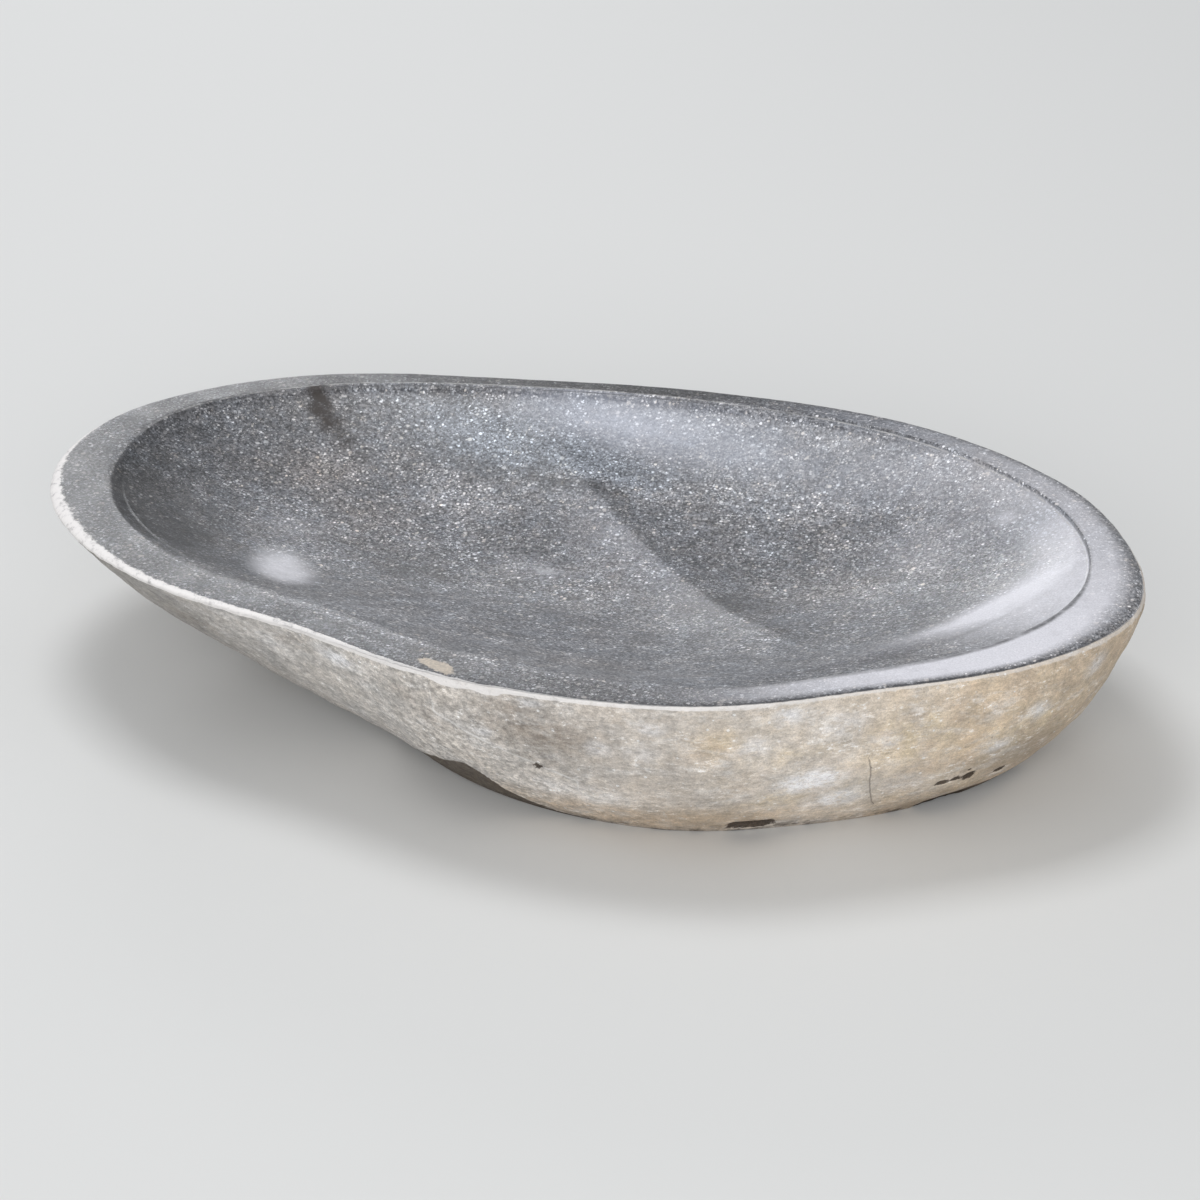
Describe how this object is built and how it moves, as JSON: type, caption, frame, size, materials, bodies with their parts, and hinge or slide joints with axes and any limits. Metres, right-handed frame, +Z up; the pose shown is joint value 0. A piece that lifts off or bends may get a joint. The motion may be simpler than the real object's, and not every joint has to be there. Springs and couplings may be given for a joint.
{
  "type": "bird bath",
  "caption": "Low oval bird bath carved from one river boulder: worn skin outside, flat ground rim, stepped lip and a shallow bowl with a soft ridge, on a flat base.",
  "frame": {"origin": "on the ground, under the middle of the stone's bounding box", "axes": "+X along the stone's length towards its broad end, +Y across it to the back as pictured, +Z up"},
  "size_m": [0.544, 0.354, 0.09],
  "materials": {
    "stone": "river-worn skin outside, honed dark grey with pale specks on the rim and in the bowl"
  },
  "bodies": {
    "root": {"basin": "stone"}
  },
  "joints": []
}
